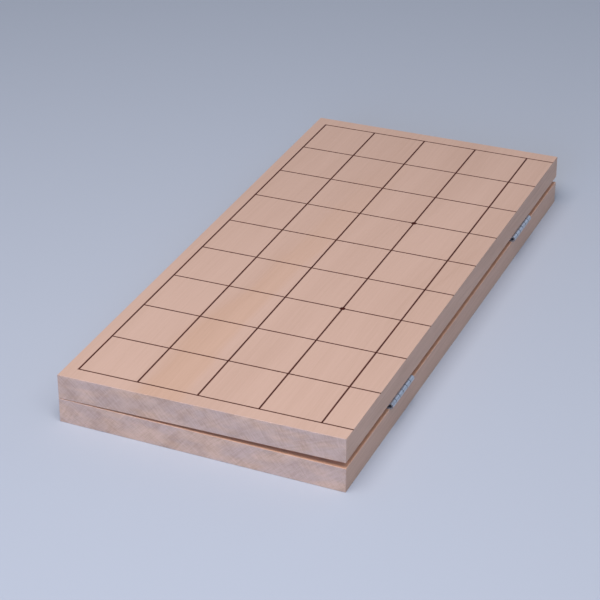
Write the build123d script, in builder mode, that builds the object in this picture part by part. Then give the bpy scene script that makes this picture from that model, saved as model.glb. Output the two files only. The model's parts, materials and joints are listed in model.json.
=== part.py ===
from build123d import *
from math import asin, cos, degrees, radians, sin
import os

# Folding shogi board, folded flat with both playing faces outward. Millimetres.
# X runs across the columns with the fold on the +X side, Y runs along the fold, Z is up.
# The origin is on the table, under the middle of the folded board.

# Playing field: nine rows, and nine columns with the middle one cut by the fold
column = 35.2
row = 38.6
rows = 9
columns_per_half = 4.5
long_lines = 5
long_line_width = 0.7
cross_line_width = 0.6
star_radius = 1.5
star_line = 3
lacquer_depth = 0.3

# Wooden halves
side_margin = 7.8
end_margin = 9.8
board_thickness = 14.5
edge_chamfer = 0.2
knuckle_relief_radius = 0.6
fold_setback = 0.1
free_edge_gap = 0.15

# Butt hinges with rolled knuckles
near_hinge_place = -104.5
far_hinge_place = 107.2
hinge_length = 32.4
knuckles = 6
knuckle_gap = 0.5
barrel_radius = 1.75
pin_radius = 0.9
running_clearance = 0.05
pin_recess = 2.0
curl_angle = 290
leaf_width = 13.0
leaf_corner_radius = 1.5
notch_relief = 0.3

# Countersunk wood screws, two to each leaf
screw_reach = 7.6
screw_spacing = 20.0
screw_length = 10.0
screw_radius = 1.3
screw_cone_angle = 90
cross_slot_length = 2.6
cross_slot_width = 0.5
cross_slot_depth = 0.6
pilot_depth = 10.0

# Worked-out sizes
field_length = rows * row
field_reach = columns_per_half * column
half_width = field_reach + side_margin
board_length = field_length + 2 * end_margin
playing_height = barrel_radius + board_thickness
cross_line_length = field_reach + long_line_width / 2 - fold_setback
knuckle_pitch = hinge_length / knuckles

# The pin turns in the upper leaf's knuckles and is tight in the lower leaf's.
# The screw heads fit within the thinner leaf, their cones square at the tip.
turning_bore_radius = pin_radius + running_clearance
screw_head_height = barrel_radius - turning_bore_radius
screw_head_radius = screw_radius + screw_head_height

# The halves meet at their free edges, so the upper one leans by this angle
tilt = degrees(asin((2 * barrel_radius - free_edge_gap) / half_width))
lean_sin = sin(radians(tilt))
lean_cos = cos(radians(tilt))

# The leaning half reaches furthest from the fold just under its chamfered top edge
free_reach = half_width * lean_cos + (playing_height - edge_chamfer) * lean_sin
fold_x = (free_reach - barrel_radius) / 2
fold_height = playing_height

# Each half is drawn on its own plane through the fold axis:
# x runs to the free edge and z runs to the playing face
lower_side = Plane((fold_x, 0, fold_height), x_dir=(-1, 0, 0), z_dir=(0, 0, -1))
upper_side = Plane(
    (fold_x, 0, fold_height),
    x_dir=(-lean_cos, 0, -lean_sin),
    z_dir=(-lean_sin, 0, lean_cos),
)


# A side's plane, moved along the fold axis to the middle of one hinge
def hinge_plane(side, along):
    return Plane((fold_x, along, fold_height), x_dir=side.x_dir, z_dir=side.z_dir)


# Square to the fold axis, with the free edge to the right and the playing face up
def cross_plane(side):
    return Plane(side.origin, x_dir=side.x_dir, z_dir=-side.y_dir)


# Faces the gap between the halves, centred on one leaf's pair of screws
def screw_plane(hinge, height):
    return Plane(
        hinge.from_local_coords((screw_reach, 0, height)), x_dir=hinge.x_dir, z_dir=-hinge.z_dir
    )


# The ruled lines of one half, for a sketch on its playing face
def draw_lines():
    with Locations((field_reach - (long_lines - 1) * column / 2, 0)):
        with GridLocations(column, 0, long_lines, 1):
            Rectangle(long_line_width, field_length + cross_line_width)
    with Locations((fold_setback, 0)):
        with GridLocations(0, row, 1, rows + 1):
            Rectangle(cross_line_length, cross_line_width, align=(Align.MIN, Align.CENTER))


# The two star points of one half, for a sketch on its playing face
def draw_stars(mode):
    with Locations((field_reach - star_line * column, 0)):
        with GridLocations(0, (rows - 2 * star_line) * row, 1, 2):
            Circle(star_radius, mode=mode)


# One wooden half: a plank with chamfered edges, ruled grooves and pilot holes for the screws.
# The playing face stays sharp along the fold, so that the open board shows a tight seam.
# The underside is rounded along the fold, to clear the other half's knuckles as they turn.
def wooden_half(side, hinges):
    with BuildPart() as board:
        with BuildSketch(side.offset(barrel_radius)):
            with Locations((fold_setback, 0)):
                Rectangle(half_width - fold_setback, board_length, align=(Align.MIN, Align.CENTER))
        extrude(amount=board_thickness)

        across = Axis((0, 0, 0), side.x_dir)
        upright = Axis((0, 0, 0), side.z_dir)
        chamfer(board.edges().filter_by(upright).sort_by(across)[-2:], edge_chamfer)
        for end in (0, -1):
            face = board.faces().sort_by(upright)[end]
            chamfer(face.edges().sort_by(across)[1:], edge_chamfer)
        underside = board.faces().sort_by(upright)[0]
        fillet(underside.edges().sort_by(across)[0], knuckle_relief_radius)

        with BuildSketch(side.offset(playing_height)):
            draw_lines()
            draw_stars(Mode.ADD)
        extrude(amount=-lacquer_depth, mode=Mode.SUBTRACT)

        for hinge in hinges:
            with Locations(screw_plane(hinge, barrel_radius)):
                with GridLocations(0, screw_spacing, 1, 2):
                    Hole(screw_radius, depth=pilot_depth)
    return board


# Lacquer that fills the ruled grooves, level with the wood
def grid_lines(side):
    with BuildPart() as lines:
        with BuildSketch(side.offset(playing_height)):
            draw_lines()
            draw_stars(Mode.SUBTRACT)
        extrude(amount=-lacquer_depth)
    return lines


# Lacquer dots at the crossings that mark each player's third row
def star_points(side):
    with BuildPart() as stars:
        with BuildSketch(side.offset(playing_height)):
            draw_stars(Mode.ADD)
        extrude(amount=-lacquer_depth)
    return stars


# One hinge leaf: a plate rolled round the pin, with every second knuckle cut away.
# Both leaves of a hinge have the same slots, because they face each other end for end.
def hinge_leaf(hinge, bore_radius):
    leaf_thickness = barrel_radius - bore_radius
    with BuildPart() as leaf:
        with BuildSketch(cross_plane(hinge)):
            with BuildLine():
                outside = CenterArc((0, 0), barrel_radius, 90, curl_angle)
                inside = CenterArc((0, 0), bore_radius, 90, curl_angle)
                Line(outside @ 1, inside @ 1)
                Polyline(
                    inside @ 0, (leaf_width, bore_radius), (leaf_width, barrel_radius), outside @ 0
                )
            make_face()
        extrude(amount=hinge_length / 2, both=True)

        across = Axis((0, 0, 0), hinge.x_dir)
        upright = Axis((0, 0, 0), hinge.z_dir)
        fillet(leaf.edges().filter_by(upright).sort_by(across)[-2:], leaf_corner_radius)

        with BuildSketch(hinge):
            with Locations((barrel_radius + notch_relief, knuckle_pitch / 2)):
                with GridLocations(0, 2 * knuckle_pitch, 1, knuckles // 2):
                    Rectangle(
                        2 * leaf_width, knuckle_pitch + knuckle_gap, align=(Align.MAX, Align.CENTER)
                    )
        extrude(amount=2 * barrel_radius, both=True, mode=Mode.SUBTRACT)

        with Locations(screw_plane(hinge, bore_radius)):
            with GridLocations(0, screw_spacing, 1, 2):
                CounterSinkHole(
                    screw_radius,
                    screw_head_radius,
                    depth=leaf_thickness,
                    counter_sink_angle=screw_cone_angle,
                )
    return leaf


# Plain pin, ending inside the barrel so that each end shows as a dark hole
def hinge_pin(hinge):
    with BuildPart() as pin:
        with BuildSketch(cross_plane(hinge)):
            Circle(pin_radius)
        extrude(amount=hinge_length / 2 - pin_recess, both=True)
    return pin


# The pair of screws of one leaf, with their heads level with the plate
def leaf_screws(hinge, head_height):
    heads = screw_plane(hinge, head_height)
    with BuildPart() as screws:
        for along in (-screw_spacing / 2, screw_spacing / 2):
            centre = heads.from_local_coords((0, along, 0))
            with BuildSketch(Plane(centre, x_dir=hinge.x_dir, z_dir=-hinge.y_dir)):
                with BuildLine():
                    Polyline(
                        (0, 0),
                        (screw_head_radius, 0),
                        (screw_radius, screw_head_height),
                        (screw_radius, screw_length),
                        (0, screw_length),
                        close=True,
                    )
                make_face()
            revolve(axis=Axis(centre, hinge.z_dir))
        with BuildSketch(heads):
            with GridLocations(0, screw_spacing, 1, 2):
                Rectangle(cross_slot_length, cross_slot_width)
                Rectangle(cross_slot_width, cross_slot_length)
        extrude(amount=-cross_slot_depth, mode=Mode.SUBTRACT)
    return screws


def save(piece, name):
    piece.part.label = name
    export_step(piece.part, f"parts/{name}.step")


os.makedirs("parts", exist_ok=True)
hinge_places = {"near": near_hinge_place, "far": far_hinge_place}

halves = (("lower", lower_side, pin_radius), ("upper", upper_side, turning_bore_radius))

for half, side, bore_radius in halves:
    hinges = {place: hinge_plane(side, y) for place, y in hinge_places.items()}
    save(wooden_half(side, hinges.values()), f"{half}_board")
    save(grid_lines(side), f"{half}_grid_lines")
    save(star_points(side), f"{half}_star_points")
    for place, hinge in hinges.items():
        save(hinge_leaf(hinge, bore_radius), f"{place}_hinge_{half}_leaf")
        save(leaf_screws(hinge, bore_radius), f"{place}_hinge_{half}_screws")

for place, y in hinge_places.items():
    save(hinge_pin(hinge_plane(lower_side, y)), f"{place}_hinge_pin")
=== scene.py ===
"""Finishes and stage for a folding shogi board: pale wood with its own grain, dark lacquer
lines, and small plated hinges. Lengths are in metres, or in millimetres where a comment says so."""

import json
from math import cos, pi, radians, sin

import bmesh
import bpy
from bpy.props import FloatProperty, FloatVectorProperty, PointerProperty
from bpy.types import Operator, Panel, PropertyGroup
from mathutils import Matrix, Quaternion, Vector

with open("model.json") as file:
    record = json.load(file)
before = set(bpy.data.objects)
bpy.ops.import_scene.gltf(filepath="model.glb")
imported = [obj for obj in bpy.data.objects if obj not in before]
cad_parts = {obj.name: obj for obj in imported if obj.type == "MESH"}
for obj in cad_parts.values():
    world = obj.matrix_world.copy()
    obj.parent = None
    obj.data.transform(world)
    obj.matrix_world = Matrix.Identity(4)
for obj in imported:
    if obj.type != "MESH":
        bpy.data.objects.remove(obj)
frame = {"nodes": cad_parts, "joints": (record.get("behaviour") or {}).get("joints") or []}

bl_info = {
    "name": "Folding Shogi Board",
    "version": (1, 0, 0),
    "blender": (4, 5, 0),
    "location": "View3D > Sidebar > Shogi Board",
    "description": "Wood, lacquer and plated hinges for a folding shogi board, with a plain stage",
    "category": "Material",
}

MM = 0.001

# The upper half leans by as much as the fold opens past a straight angle
FOLD = next(joint for joint in frame["joints"] if joint["name"] == "fold")
FOLD_AXIS = Vector(FOLD["pos_m"])
LEAN = radians(FOLD["range_deg"][1]) - pi

# Each half's own directions: away from the fold, along it, and out through the playing face
SIDES = {
    "upper": Matrix(((-cos(LEAN), 0, -sin(LEAN)), (0, -1, 0), (-sin(LEAN), 0, cos(LEAN)))),
    "lower": Matrix(((-1, 0, 0), (0, 1, 0), (0, 0, -1))),
}

# The ruled field in millimetres. It is nine squares by nine about the middle of the fold, and each
# star point stands three squares in from two of its edges.
COLUMN, ROW = 35.2, 38.6
HALF_FIELD, STAR_INSET = 4.5, 3
FIELD_REACH, FIELD_END = HALF_FIELD * COLUMN, HALF_FIELD * ROW
STAR_REACH, STAR_END = (HALF_FIELD - STAR_INSET) * COLUMN, (HALF_FIELD - STAR_INSET) * ROW
LONG_LINE, CROSS_LINE, STAR_RADIUS = 0.7, 0.6, 1.5

# How far the faces of a half lie from the fold's axis, in millimetres
BOARD_THICKNESS = 14.5
PLAYING_HEIGHT = FOLD["pos_m"][2] / MM
INNER_HEIGHT = PLAYING_HEIGHT - BOARD_THICKNESS

# The trunk of each half, in millimetres: where its heart lies, across and outwards from the fold's
# axis, how far the warm band is from the heart, and how far the plank's own patterns are shifted
TRUNKS = {
    "upper": ((-58, -170), 245, (0, 0, 0)),
    "lower": ((-74, 150), 262, (0, 830, 0)),
}

# The slope of the trunk against the plank, and how far from the heart its arcs are measured
TRUNK_SLOPE = 0.035
ARC_RADIUS = 220

# The materials' patterns: size in millimetres along three axes, detail and roughness
PATTERNS = {
    "sway": ((150, 260, 150), 1, 0.5),
    "ripple": ((30, 90, 30), 2, 0.5),
    "fibres": ((0.8, 38, 0.8), 4, 0.66),
    "pores": ((0.3, 4.5, 0.3), 1, 0.5),
    "blotch": ((11, 30, 7), 4, 0.6),
    "soaked_up": ((22, 40, 8), 2, 0.5),
    "growth": ((1.3, 26, 190), 4, 0.62),
    "tone": ((17, 60, 260), 2, 0.5),
    "marked_years": ((7, 30, 90), 1, 0.5),
    "seasons": ((9, 20, 9), 3, 0.5),
    "rays": ((0.75, 13, 3), 3, 0.62),
    "saw": ((9, 0.7, 4), 2, 0.5),
    "lacquer_flow": ((2.2, 2.2, 2.2), 3, 0.5),
    "lacquer_grain": ((0.5, 18, 0.5), 3, 0.5),
    "strip_marks": ((0.12, 7, 0.12), 3, 0.6),
    "turned_marks": ((0.25, 0.25, 0.25), 3, 0.6),
    "film": ((3.5, 6, 3.5), 4, 0.6),
    "wire_marks": ((0.1, 9, 0.1), 3, 0.6),
    "oil": ((1.5, 4, 1.5), 3, 0.5),
}

# How far the patterns move the rings across the plank and through it, and the warm band, in
# millimetres
RINGS_ACROSS = {"sway": 14, "ripple": 3.5}
RINGS_OUT = {"sway": 8, "ripple": 3}
BAND_WANDER = {"ripple": 9, "tone": 9}

# How much the patterns darken any face but the ends, a ripped edge besides, and a sawn end
FACE_GRAIN = {"growth": 0.26, "fibres": 0.34, "tone": 0.5}
EDGE_GRAIN = {"growth": 0.6, "fibres": 0.6, "blotch": 0.45}
END_GRAIN = {"growth": 0.8, "rays": 0.95, "blotch": 1.4, "saw": 0.8}

# How high the patterns stand on every face, and on a sawn end besides
FACE_RELIEF = {"fibres": 0.45, "growth": 0.25}
END_RELIEF = {"blotch": 0.4, "rays": 0.5, "saw": 0.7}
PORE_SINK = 0.8

# How deep the relief of each material is, and how strongly it shades
WOOD_BUMP = (0.03 * MM, 0.6)
LACQUER_BUMP = (0.03 * MM, 0.6)
PLATING_BUMP = (0.012 * MM, 0.7)
WIRE_BUMP = (0.01 * MM, 0.6)

# How much duller the wood's finish is on some fibres and on a sawn end, and the clear coat's weight
FIBRE_DULLING, END_DULLING = {"fibres": 0.2}, 0.16
FACE_COAT, END_COAT_LOSS = 0.06, 0.05

# How dark plain wood, late wood and a pore are: 0 is the pale colour and 1 the dark one
FACE_PLAIN, END_PLAIN = 0.32, 0.41
FACE_LATE, END_LATE = 0.06, 0.14
PORE_DARK = 0.1

# Wet and dry seasons swing the rings by this many years, and change slowly along the trunk
SEASON_SWING, SEASON_DRIFT = 3.2, 0.02

# Where each mask of the wood starts and where it is full, on the scale of its own pattern
MARKED_YEARS = (0.4, 0.7)
PORES = (0.64, 0.76)
SOAKED_UP = (0.34, 0.62)

# The same for a year's growth, which runs from 0 to 1, for how squarely a face points along an
# axis, and for the depth of the grain
LATE_GROWS, LATE_STOPS = (0.3, 0.9), (0.9, 1.0)
SQUARE_ON = (0.55, 0.85)
GRAIN_DEPTH = (-0.1, 1.1)

# The warm band in millimetres: its edge, and where along the plank it gains strength and width
BAND_EDGE = (3.5, 8.5)
BAND_STRONGER, BAND_WIDER = (-190, 120), (60, 180)
BAND_WIDENING = 3
END_BAND_LOSS = 0.3

# Where the painted warm bounce light on an inner face fades on its chamfers, in millimetres from the
# face
INNER_BOUNCE_EDGE = (0.02, 0.2)

# How far lacquer soaks into the wood beside a line or a star point, how far the fibres draw it
# on, and where it ends past the outer lines and under the playing face, in millimetres
LONG_SOAK, CROSS_SOAK, STAR_SOAK = 0.4, 0.3, 0.35
LONG_DRAW, CROSS_DRAW, STAR_DRAW = 0.225, 0.45, 0.27
PAST_REACH, PAST_END = (0.55, 0.8), (0.45, 0.7)
UNDER_FACE = (-0.25, -0.05)
CLOSED_FIBRE = 0.3
STAIN_STRENGTH = 0.75

# Lacquer is thin and lighter where its two patterns, each times its share, add up to enough
THIN_FLOW, THIN_GRAIN = 0.6, 0.5
THIN_LACQUER = (0.52, 0.78)
THIN_GAIN, THIN_LIFT = 2.0, 0.002
FLOW_DULLING = 0.25
BRUSH_RELIEF = 0.5

# Masks of the steel, how strongly film and oil cover it, and how much duller each place is
DULL_PATCHES, DULL_COVER = (0.48, 0.72), 0.7
# The cut ends' mask also puts painted shade on the knuckle ends in the gaps between knuckles, as
# well as marking bare cut steel
CUT_ENDS_AND_GAP_SHADE = (0.6, 0.9)
OILY, OIL_COVER = (0.35, 0.75), 0.6
MARKS_DULLING, PATCH_DULLING, CUT_DULLING = 0.2, 0.14, 0.25
FILM_RELIEF = 0.4
OIL_COLOUR = (0.03, 0.026, 0.022)
WIRE_ROUGHNESS = 0.42

# Each lamp's place, width and colour. Its power is the setting of the same name.
LAMPS = {
    "key": ((0.0, -0.5, 1.2), 0.9, (1.0, 0.97, 1.0)),
    "side": ((1.0, -0.7, 1.5), 0.8, (1.0, 0.97, 1.0)),
    "back": ((0.84, 1.6, 0.83), 1.4, (0.8, 0.88, 1.0)),
    "fill": ((0.3, -2.1, 0.75), 1.2, (0.42, 0.62, 1.0)),
}
SKY_COLOUR = (0.62, 0.76, 1.0)
FLOOR_RADIUS, FLOOR_SIDES, FLOOR_ROUGHNESS = 6.0, 96, 0.85

# The width of the camera's picture, in the millimetres of its lens
SENSOR_WIDTH = 36

# A colour Mix node repeats its socket names for each kind of value, so these go by number
MIX_FIRST, MIX_SECOND, MIX_RESULT = 6, 7, 2


class BoardWoodSettings(PropertyGroup):
    """The timber of both halves."""

    pale: FloatVectorProperty(
        name="Early wood",
        description="Colour of the pale wood between the growth lines",
        subtype="COLOR",
        default=(0.69, 0.448, 0.33),
        min=0,
        max=1,
    )
    dark: FloatVectorProperty(
        name="Late wood",
        description="Colour of the growth lines",
        subtype="COLOR",
        default=(0.50, 0.302, 0.204),
        min=0,
        max=1,
    )
    streak: FloatVectorProperty(
        name="Warm streak",
        description="Tint of the band of years that is warmer than the rest",
        subtype="COLOR",
        default=(1.0, 0.965, 0.905),
        min=0,
        max=1,
    )
    stain: FloatVectorProperty(
        name="Soaked wood",
        description="Colour of the wood where lacquer has soaked in beside a line",
        subtype="COLOR",
        default=(0.11, 0.026, 0.014),
        min=0,
        max=1,
    )
    # Painted bounce light: this tint warms and brightens the faces that meet when folded, as light
    # bouncing between the halves would
    inner: FloatVectorProperty(
        name="Inner faces",
        description="Tint of the faces that meet when folded, which light hasn't darkened",
        subtype="COLOR",
        default=(1.08, 0.95, 0.82),
        min=0,
        max=1.4,
    )
    # Partly painted light: the ends really soak up more finish in patches, but this cool bluish tint
    # is painted bounce light on the sawn ends
    end: FloatVectorProperty(
        name="End grain",
        description="Tint that the sawn ends take, because they soak up more of the finish",
        subtype="COLOR",
        default=(0.87, 0.91, 1.0),
        min=0,
        max=1,
    )
    ring_width: FloatProperty(
        name="Ring width",
        description="Usual distance between two growth rings",
        subtype="DISTANCE",
        unit="LENGTH",
        default=3.4 * MM,
        min=0.5 * MM,
        max=10 * MM,
    )
    roughness: FloatProperty(
        name="Roughness",
        description="How dull the thin clear finish is",
        subtype="FACTOR",
        default=0.52,
        min=0,
        max=1,
    )


class LacquerSettings(PropertyGroup):
    """The ruled lines and the star points."""

    colour: FloatVectorProperty(
        name="Lacquer",
        description="Colour of the lines and the star points",
        subtype="COLOR",
        default=(0.05, 0.010, 0.006),
        min=0,
        max=1,
    )
    roughness: FloatProperty(
        name="Roughness",
        description="How dull the lacquer is",
        subtype="FACTOR",
        default=0.55,
        min=0,
        max=1,
    )


class HingeSettings(PropertyGroup):
    """The plated steel of the hinges and their screws."""

    plating: FloatVectorProperty(
        name="Plating",
        description="Colour of the bright plating",
        subtype="COLOR",
        default=(0.60, 0.64, 0.72),
        min=0,
        max=1,
    )
    dull: FloatVectorProperty(
        name="Dull film",
        description="Colour of the film that the plating gathers in patches",
        subtype="COLOR",
        default=(0.42, 0.43, 0.46),
        min=0,
        max=1,
    )
    # Partly painted shade: bare cut steel is real, but this darker colour also stands for the shade
    # in the gaps between knuckles
    cut: FloatVectorProperty(
        name="Cut steel",
        description="Colour of the bare steel where the strip was cut",
        subtype="COLOR",
        default=(0.44, 0.44, 0.44),
        min=0,
        max=1,
    )
    # Painted shade: the pins' very dark colour stands for the shade in the knuckle gaps and the
    # barrel ends, where the pins show
    pin: FloatVectorProperty(
        name="Pin",
        description="Colour of the oily steel of the pins",
        subtype="COLOR",
        default=(0.10, 0.09, 0.08),
        min=0,
        max=1,
    )
    roughness: FloatProperty(
        name="Roughness",
        description="How dull the plating is",
        subtype="FACTOR",
        default=0.3,
        min=0,
        max=1,
    )


class StageSettings(PropertyGroup):
    """The floor, the lights and the camera."""

    floor: FloatVectorProperty(
        name="Floor",
        description="Colour of the floor",
        subtype="COLOR",
        default=(0.48, 0.50, 0.54),
        min=0,
        max=1,
    )
    key: FloatProperty(
        name="Key light",
        description="Power of the large lamp overhead",
        subtype="POWER",
        unit="POWER",
        default=12.8,
        min=0,
    )
    side: FloatProperty(
        name="Side light",
        description="Power of the lamp on the fold's side, which lights the gap between the halves",
        subtype="POWER",
        unit="POWER",
        default=4.0,
        min=0,
    )
    back: FloatProperty(
        name="Back light",
        description="Power of the wide weak lamp behind, which shows in the hinges",
        subtype="POWER",
        unit="POWER",
        default=2.5,
        min=0,
    )
    sky: FloatProperty(
        name="Sky",
        description="Strength of the even light from all round",
        default=0.235,
        min=0,
    )
    fill: FloatProperty(
        name="Fill light",
        description="Power of the cool lamp in front",
        subtype="POWER",
        unit="POWER",
        default=25.5,
        min=0,
    )
    azimuth: FloatProperty(
        name="Azimuth",
        description="How far the camera stands round from the near end, towards the fold",
        subtype="ANGLE",
        unit="ROTATION",
        default=radians(22.594),
    )
    elevation: FloatProperty(
        name="Elevation",
        description="How far the camera looks down",
        subtype="ANGLE",
        unit="ROTATION",
        default=radians(29.215),
    )
    roll: FloatProperty(
        name="Roll",
        description="How far the camera leans over",
        subtype="ANGLE",
        unit="ROTATION",
        default=radians(0.861),
    )
    distance: FloatProperty(
        name="Distance",
        description="From the camera to the point that it looks at",
        subtype="DISTANCE",
        unit="LENGTH",
        default=1.2014,
        min=0.1,
    )
    target: FloatVectorProperty(
        name="Target",
        description="The point that the camera looks at",
        subtype="TRANSLATION",
        unit="LENGTH",
        default=(-0.00693, -0.03358, 0.01625),
    )
    lens: FloatProperty(
        name="Lens",
        description="Focal length in millimetres, on a square of 36 mm",
        subtype="DISTANCE_CAMERA",
        unit="CAMERA",
        default=123.89,
        min=10,
    )


class Socket:
    """One output of a material's node. Arithmetic on it adds Math nodes."""

    def __init__(self, recipe, output):
        self.recipe = recipe
        self.output = output

    def __add__(self, other):
        return self.recipe.math("ADD", self, other)

    def __radd__(self, other):
        return self.recipe.math("ADD", other, self)

    def __sub__(self, other):
        return self.recipe.math("SUBTRACT", self, other)

    def __rsub__(self, other):
        return self.recipe.math("SUBTRACT", other, self)

    def __mul__(self, other):
        return self.recipe.math("MULTIPLY", self, other)

    def __rmul__(self, other):
        return self.recipe.math("MULTIPLY", other, self)

    def __truediv__(self, other):
        return self.recipe.math("DIVIDE", self, other)

    def __pow__(self, other):
        return self.recipe.math("POWER", self, other)

    def __abs__(self):
        return self.recipe.math("ABSOLUTE", self)


class Recipe:
    """Adds nodes to one material, each with its settings first and then its sockets."""

    def __init__(self, name):
        self.material = bpy.data.materials.new(name)
        self.material.use_nodes = True
        self.tree = self.material.node_tree
        self.tree.nodes.clear()

    def add(self, kind, settings=None, inputs=None, output=0):
        node = self.tree.nodes.new(kind)
        for name, value in (settings or {}).items():
            setattr(node, name, value)
        for key, value in (inputs or {}).items():
            if isinstance(value, Socket):
                self.tree.links.new(value.output, node.inputs[key])
            else:
                node.inputs[key].default_value = value
        return Socket(self, node.outputs[output])

    def math(self, operation, *values):
        return self.add("ShaderNodeMath", {"operation": operation}, dict(enumerate(values)))

    def vector_math(self, operation, *values, output="Vector"):
        inputs = dict(enumerate(values))
        return self.add("ShaderNodeVectorMath", {"operation": operation}, inputs, output)

    def split(self, vector):
        """The three numbers of a vector."""
        node = self.add("ShaderNodeSeparateXYZ", inputs={0: vector}).output.node
        return [Socket(self, output) for output in node.outputs]

    def join(self, *numbers):
        return self.add("ShaderNodeCombineXYZ", inputs=dict(enumerate(numbers)))

    def pattern(self, name, place):
        """Smooth noise about 0.5, in patches of the size that PATTERNS gives."""
        size, detail, roughness = PATTERNS[name]
        grid = self.vector_math("DIVIDE", place, Vector(size))
        inputs = {"Vector": grid, "Scale": 1.0, "Detail": detail, "Roughness": roughness}
        return self.add("ShaderNodeTexNoise", inputs=inputs)

    def rise(self, value, low, high):
        """Climbs smoothly from 0 to 1 as value goes from low to high."""
        inputs = {"Value": value, "From Min": low, "From Max": high}
        return self.add("ShaderNodeMapRange", {"interpolation_type": "SMOOTHSTEP"}, inputs)

    def fall(self, value, low, high):
        """Drops smoothly from 1 to 0 as value goes from low to high."""
        return 1 - self.rise(value, low, high)

    def mix(self, factor, first, second, blend="MIX"):
        """One colour laid over another."""
        inputs = {"Factor": factor, MIX_FIRST: opaque(first), MIX_SECOND: opaque(second)}
        settings = {"data_type": "RGBA", "blend_type": blend}
        return self.add("ShaderNodeMix", settings, inputs, MIX_RESULT)

    def bump(self, height, depth, strength):
        inputs = {"Height": height, "Distance": depth, "Strength": strength}
        return self.add("ShaderNodeBump", inputs=inputs, output="Normal")

    def finish(self, inputs):
        """Joins a Principled shader to the material's output and returns the material."""
        shader = self.add("ShaderNodeBsdfPrincipled", inputs=inputs)
        output = self.tree.nodes.new("ShaderNodeOutputMaterial")
        self.tree.links.new(shader.output, output.inputs["Surface"])
        return self.material


def opaque(colour):
    return colour if isinstance(colour, Socket) else (*colour, 1.0)


def weigh(patterns, weights):
    """Adds up patterns that swing about 0.5, each as much as its weight says."""
    return sum((patterns[name] - 0.5) * weight for name, weight in weights.items())


def place_on_side(recipe, side):
    """A point in millimetres: from the fold to the free edge, along the fold, and outwards."""
    here = recipe.add("ShaderNodeTexCoord", output="Object")
    inputs = {
        "Vector": here,
        "Location": FOLD_AXIS,
        "Rotation": side.transposed().to_euler(),
        "Scale": Vector((MM, MM, MM)),
    }
    return recipe.add("ShaderNodeMapping", {"vector_type": "TEXTURE"}, inputs)


def from_nearest_line(recipe, place, pitch):
    """Distance to the nearest of the lines that stand a pitch apart, half a pitch off the middle."""
    return abs(recipe.math("FRACT", place / pitch) - 0.5) * pitch


def soaked_lines(recipe, across, along, outward, fibres):
    """Where lacquer has soaked into the wood beside a line or a star point."""
    open_fibres = fibres - CLOSED_FIBRE
    from_long = from_nearest_line(recipe, across, COLUMN) - open_fibres * LONG_DRAW
    from_cross = from_nearest_line(recipe, along, ROW) - open_fibres * CROSS_DRAW
    star = recipe.join(across - STAR_REACH, abs(along) - STAR_END, 0)
    from_star = recipe.vector_math("LENGTH", star, output="Value") - open_fibres * STAR_DRAW

    long_edge = recipe.fall(from_long, LONG_LINE / 2, LONG_LINE / 2 + LONG_SOAK)
    cross_edge = recipe.fall(from_cross, CROSS_LINE / 2, CROSS_LINE / 2 + CROSS_SOAK)
    star_edge = recipe.fall(from_star, STAR_RADIUS, STAR_RADIUS + STAR_SOAK)
    edges = recipe.math("MAXIMUM", recipe.math("MAXIMUM", long_edge, cross_edge), star_edge)

    past_field = recipe.rise(across - FIELD_REACH, *PAST_REACH)
    past_field = past_field + recipe.rise(abs(along) - FIELD_END, *PAST_END)
    on_face = recipe.rise(outward - PLAYING_HEIGHT, *UNDER_FACE)
    return edges * on_face * (1 - recipe.math("MINIMUM", past_field, 1.0))


def wood_patterns(recipe, place, heart, shift):
    """The patterns of sawn timber by name, and the distance from the heart of the trunk. The
    trunk isn't straight, so its rings wander along the plank."""
    across, along, outward = recipe.split(place)
    heart_across, heart_outward = heart
    in_plank = recipe.vector_math("ADD", place, Vector(shift))
    names = ("sway", "ripple", "fibres", "pores", "blotch", "soaked_up")
    patterns = {name: recipe.pattern(name, in_plank) for name in names}

    beside_heart = across - heart_across + weigh(patterns, RINGS_ACROSS) - along * TRUNK_SLOPE
    above_heart = outward - heart_outward + weigh(patterns, RINGS_OUT)
    radius = (beside_heart * beside_heart + above_heart * above_heart) ** 0.5
    arc = recipe.math("ARCTAN2", above_heart, beside_heart) * ARC_RADIUS

    in_trunk = recipe.join(radius, arc, along)
    for name in ("growth", "tone", "marked_years"):
        patterns[name] = recipe.pattern(name, in_trunk)
    patterns["seasons"] = recipe.pattern("seasons", recipe.join(radius, along * SEASON_DRIFT, 0))
    patterns["rays"] = recipe.pattern("rays", recipe.join(arc, radius, along))
    patterns["saw"] = recipe.pattern("saw", recipe.join(across + outward, across - outward, along))
    return patterns, radius


def late_wood(recipe, patterns, radius, ring_width):
    """The late wood of each year. Some years are wide and some narrow, and not all are marked."""
    years = radius / (ring_width / MM) + patterns["seasons"] * SEASON_SWING
    growth = recipe.math("FRACT", years)
    grown = recipe.rise(growth, *LATE_GROWS) * recipe.fall(growth, *LATE_STOPS)
    return grown * recipe.rise(patterns["marked_years"], *MARKED_YEARS)


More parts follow.
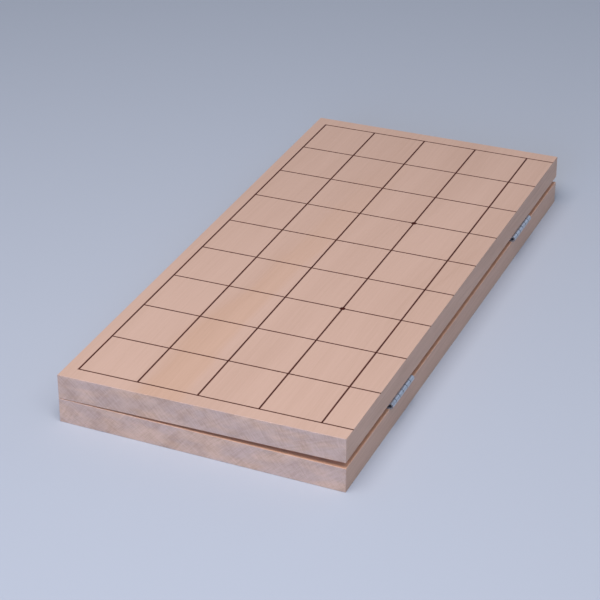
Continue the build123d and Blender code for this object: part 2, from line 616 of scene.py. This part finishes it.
def wood_material(name, side, heart, band, shift, settings):
    """Sawn timber. Rings run round the heart of the trunk, which lies outside the plank, so the
    faces show streaks along the grain and the sawn ends show arcs crossed by rays. One band of
    years, band millimetres from the heart, is warmer than the rest."""
    recipe = Recipe(name)
    place = place_on_side(recipe, side)
    across, along, outward = recipe.split(place)
    patterns, radius = wood_patterns(recipe, place, heart, shift)
    late = late_wood(recipe, patterns, radius, settings.ring_width)
    pores = recipe.rise(patterns["pores"], *PORES)

    # The sawn ends face along the grain, and the ripped edges across it
    facing = recipe.split(recipe.add("ShaderNodeTexCoord", output="Normal"))
    ripped = recipe.rise(abs(facing[0]), *SQUARE_ON)
    sawn = recipe.rise(abs(facing[1]), *SQUARE_ON)

    side_grain = FACE_PLAIN + weigh(patterns, FACE_GRAIN) + late * FACE_LATE + pores * PORE_DARK
    side_grain = side_grain + weigh(patterns, EDGE_GRAIN) * ripped
    end_grain = END_PLAIN + weigh(patterns, END_GRAIN) + late * END_LATE
    depth = recipe.rise(side_grain + (end_grain - side_grain) * sawn, *GRAIN_DEPTH)
    colour = recipe.mix(depth, settings.pale, settings.dark)

    # The warm band follows the rings, and is widest and strongest at one end
    from_band = abs(radius - band + weigh(patterns, BAND_WANDER))
    from_band = from_band - recipe.rise(along, *BAND_WIDER) * BAND_WIDENING
    warm = recipe.fall(from_band, *BAND_EDGE) * recipe.rise(along, *BAND_STRONGER)
    colour = recipe.mix(warm * (1 - sawn * END_BAND_LOSS), colour, settings.streak, "MULTIPLY")

    # Patches of the ends have soaked up more of the finish and take a cool tint there, which is
    # painted bluish bounce light, and the inner faces get painted warm bounce light
    soaked_up = recipe.rise(patterns["soaked_up"], *SOAKED_UP)
    # The cool tint on the sawn ends is painted bluish bounce light, laid over the real patches that
    # soaked up more finish
    colour = recipe.mix(sawn * soaked_up, colour, settings.end, "MULTIPLY")
    # The inner faces get painted warm bounce light from the gap between the halves
    inner = recipe.fall(outward - INNER_HEIGHT, *INNER_BOUNCE_EDGE)
    colour = recipe.mix(inner, colour, settings.inner, "MULTIPLY")
    soaked = soaked_lines(recipe, across, along, outward, patterns["fibres"])
    colour = recipe.mix(soaked * STAIN_STRENGTH, colour, settings.stain)

    relief = weigh(patterns, FACE_RELIEF) + weigh(patterns, END_RELIEF) * sawn - pores * PORE_SINK
    return recipe.finish(
        {
            "Base Color": colour,
            "Roughness": settings.roughness + weigh(patterns, FIBRE_DULLING) + sawn * END_DULLING,
            "Coat Roughness": 0.35,
            "Coat Weight": FACE_COAT - sawn * END_COAT_LOSS,
            "Specular IOR Level": 0.35,
            "Normal": recipe.bump(relief, *WOOD_BUMP),
        }
    )


def lacquer_material(name, side, settings):
    """Dark lacquer, drawn along each line, with a slight swell where the brush ran full."""
    recipe = Recipe(name)
    place = place_on_side(recipe, side)
    flow = recipe.pattern("lacquer_flow", place)
    grain = recipe.pattern("lacquer_grain", place)
    thin = recipe.rise(flow * THIN_FLOW + grain * THIN_GRAIN, *THIN_LACQUER)
    lighter = [min(1.0, channel * THIN_GAIN + THIN_LIFT) for channel in settings.colour]
    return recipe.finish(
        {
            "Base Color": recipe.mix(thin, settings.colour, lighter),
            "Specular IOR Level": 0.05,
            "Roughness": settings.roughness + (flow - 0.5) * FLOW_DULLING,
            "Normal": recipe.bump(flow + grain * BRUSH_RELIEF, *LACQUER_BUMP),
        }
    )


def plated_material(name, side, settings, turned=False):
    """Bright plated steel. Strip has fine lines along the fold and darker, duller faces across it:
    bare steel where it was cut after plating, and painted shade on the knuckle ends in the gaps
    between knuckles. Turned heads have neither."""
    recipe = Recipe(name)
    place = place_on_side(recipe, side)
    marks = recipe.pattern("turned_marks" if turned else "strip_marks", place)
    film = recipe.pattern("film", place)
    patches = recipe.rise(film, *DULL_PATCHES)
    colour = recipe.mix(patches * DULL_COVER, settings.plating, settings.dull)
    roughness = settings.roughness + (marks - 0.5) * MARKS_DULLING + patches * PATCH_DULLING
    if not turned:
        # Faces across the fold get darker, duller steel: bare cut edges, and painted shade on the
        # knuckle ends in the gaps
        facing_along = recipe.split(recipe.add("ShaderNodeTexCoord", output="Normal"))[1]
        cut = recipe.rise(abs(facing_along), *CUT_ENDS_AND_GAP_SHADE)
        colour = recipe.mix(cut, colour, settings.cut)
        roughness = roughness + cut * CUT_DULLING
    return recipe.finish(
        {
            "Base Color": colour,
            "Metallic": 1.0,
            "Roughness": roughness,
            "Normal": recipe.bump(marks + film * FILM_RELIEF, *PLATING_BUMP),
        }
    )


def oily_pin_shade_material(name, side, settings):
    """Plain drawn wire with patches of oil, its colour kept very dark as painted shade where it
    shows in the knuckle gaps and the barrel ends.
    """
    recipe = Recipe(name)
    place = place_on_side(recipe, side)
    marks = recipe.pattern("wire_marks", place)
    oily = recipe.rise(recipe.pattern("oil", place), *OILY)
    return recipe.finish(
        {
            "Base Color": recipe.mix(oily * OIL_COVER, settings.pin, OIL_COLOUR),
            "Metallic": 1.0,
            "Roughness": WIRE_ROUGHNESS + (marks - 0.5) * MARKS_DULLING,
            "Normal": recipe.bump(marks, *WIRE_BUMP),
        }
    )


def dress(node, material):
    """Gives a node of the frame its material in place of the plain one."""
    slots = frame["nodes"][node].material_slots
    if not slots:
        raise RuntimeError(f"{node} has no material slot")
    for slot in slots:
        slot.material = material


class SHOGI_BOARD_OT_wooden_halves(Operator):
    """Give the two wooden halves their grain"""

    bl_idname = "shogi_board.wooden_halves"
    bl_label = "Wooden Halves"

    def execute(self, context):
        settings = context.scene.shogi_board_wood
        for half, side in SIDES.items():
            dress(f"{half}_board", wood_material(f"{half}_wood", side, *TRUNKS[half], settings))
        return {"FINISHED"}


class SHOGI_BOARD_OT_playing_lines(Operator):
    """Give the ruled lines and the star points their lacquer"""

    bl_idname = "shogi_board.playing_lines"
    bl_label = "Lines and Star Points"

    def execute(self, context):
        settings = context.scene.shogi_board_lacquer
        for half, side in SIDES.items():
            lacquer = lacquer_material(f"{half}_lacquer", side, settings)
            dress(f"{half}_grid_lines", lacquer)
            dress(f"{half}_star_points", lacquer)
        return {"FINISHED"}


class SHOGI_BOARD_OT_hinges(Operator):
    """Give the hinge leaves, pins and screws their plated steel"""

    bl_idname = "shogi_board.hinges"
    bl_label = "Hinges"

    def execute(self, context):
        settings = context.scene.shogi_board_hinge
        for half, side in SIDES.items():
            strip = plated_material(f"{half}_strip_steel", side, settings)
            heads = plated_material(f"{half}_screw_steel", side, settings, turned=True)
            for end in ("near", "far"):
                dress(f"{end}_hinge_{half}_leaf", strip)
                dress(f"{end}_hinge_{half}_screws", heads)
        # The pins carry painted shade: they are dark where they show in the knuckle gaps and the
        # barrel ends
        pin = oily_pin_shade_material("pin_steel", SIDES["lower"], settings)
        dress("near_hinge_pin", pin)
        dress("far_hinge_pin", pin)
        return {"FINISHED"}


def add_object(name, data):
    thing = bpy.data.objects.new(name, data)
    bpy.context.scene.collection.objects.link(thing)
    return thing


def aim(thing, place, target, roll=0.0):
    """Stands a lamp or the camera at place, turned to look at target."""
    look = (target - place).to_track_quat("-Z", "Y")
    thing.matrix_world = Matrix.LocRotScale(place, look @ Quaternion((0, 0, 1), roll), None)


def add_lamp(name, place, width, colour, power):
    lamp = bpy.data.lights.new(name, "AREA")
    lamp.shape = "DISK"
    lamp.size = width
    lamp.energy = power
    lamp.color = colour
    aim(add_object(name, lamp), Vector(place), Vector((0, 0, 0)))


def add_floor(colour):
    """A wide plain floor at the height that the board rests on."""
    mesh = bpy.data.meshes.new("floor")
    disc = bmesh.new()
    bmesh.ops.create_circle(disc, cap_ends=True, radius=FLOOR_RADIUS, segments=FLOOR_SIDES)
    disc.to_mesh(mesh)
    disc.free()
    inputs = {"Base Color": opaque(colour), "Roughness": FLOOR_ROUGHNESS}
    mesh.materials.append(Recipe("floor_paint").finish(inputs))
    floor = add_object("floor", mesh)


def add_sky(strength):
    """Even bluish light from all round."""
    world = bpy.data.worlds.new("sky")
    world.use_nodes = True
    background = world.node_tree.nodes["Background"]
    background.inputs["Color"].default_value = opaque(SKY_COLOUR)
    background.inputs["Strength"].default_value = strength
    bpy.context.scene.world = world


def add_camera(settings):
    azimuth, elevation = settings.azimuth, settings.elevation
    level = cos(elevation)
    towards = Vector((sin(azimuth) * level, -cos(azimuth) * level, sin(elevation)))
    lens = bpy.data.cameras.new("camera")
    lens.sensor_width = SENSOR_WIDTH
    lens.lens = settings.lens
    camera = add_object("camera", lens)
    target = Vector(settings.target)
    aim(camera, target + towards * settings.distance, target, settings.roll)
    bpy.context.scene.camera = camera


class SHOGI_BOARD_OT_stage(Operator):
    """Set the plain floor, the soft lights and the camera"""

    bl_idname = "shogi_board.stage"
    bl_label = "Stage"

    def execute(self, context):
        settings = context.scene.shogi_board_stage
        add_floor(settings.floor)
        for name, (place, width, colour) in LAMPS.items():
            add_lamp(name, place, width, colour, getattr(settings, name))
        add_sky(settings.sky)
        context.scene.view_settings.view_transform = "Standard"
        add_camera(settings)
        return {"FINISHED"}


SETTINGS = {
    "shogi_board_wood": BoardWoodSettings,
    "shogi_board_lacquer": LacquerSettings,
    "shogi_board_hinge": HingeSettings,
    "shogi_board_stage": StageSettings,
}

OPERATORS = (
    SHOGI_BOARD_OT_wooden_halves,
    SHOGI_BOARD_OT_playing_lines,
    SHOGI_BOARD_OT_hinges,
    SHOGI_BOARD_OT_stage,
)


class SHOGI_BOARD_PT_sidebar(Panel):
    """The board's pieces and finishes"""

    bl_idname = "SHOGI_BOARD_PT_sidebar"
    bl_label = "Shogi Board"
    bl_space_type = "VIEW_3D"
    bl_region_type = "UI"
    bl_category = "Shogi Board"

    def draw(self, context):
        for name, group in SETTINGS.items():
            settings = getattr(context.scene, name)
            box = self.layout.box()
            for setting in group.__annotations__:
                box.prop(settings, setting)
        for operator in OPERATORS:
            self.layout.operator(operator.bl_idname)


def register():
    for group in (*SETTINGS.values(), *OPERATORS, SHOGI_BOARD_PT_sidebar):
        bpy.utils.register_class(group)
    for name, group in SETTINGS.items():
        setattr(bpy.types.Scene, name, PointerProperty(type=group))


def unregister():
    for name in SETTINGS:
        delattr(bpy.types.Scene, name)
    for group in (SHOGI_BOARD_PT_sidebar, *reversed(OPERATORS), *SETTINGS.values()):
        bpy.utils.unregister_class(group)


def main():
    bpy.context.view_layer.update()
    register()
    bpy.ops.shogi_board.wooden_halves()
    bpy.ops.shogi_board.playing_lines()
    bpy.ops.shogi_board.hinges()
    bpy.ops.shogi_board.stage()


if __name__ == "__main__":
    main()
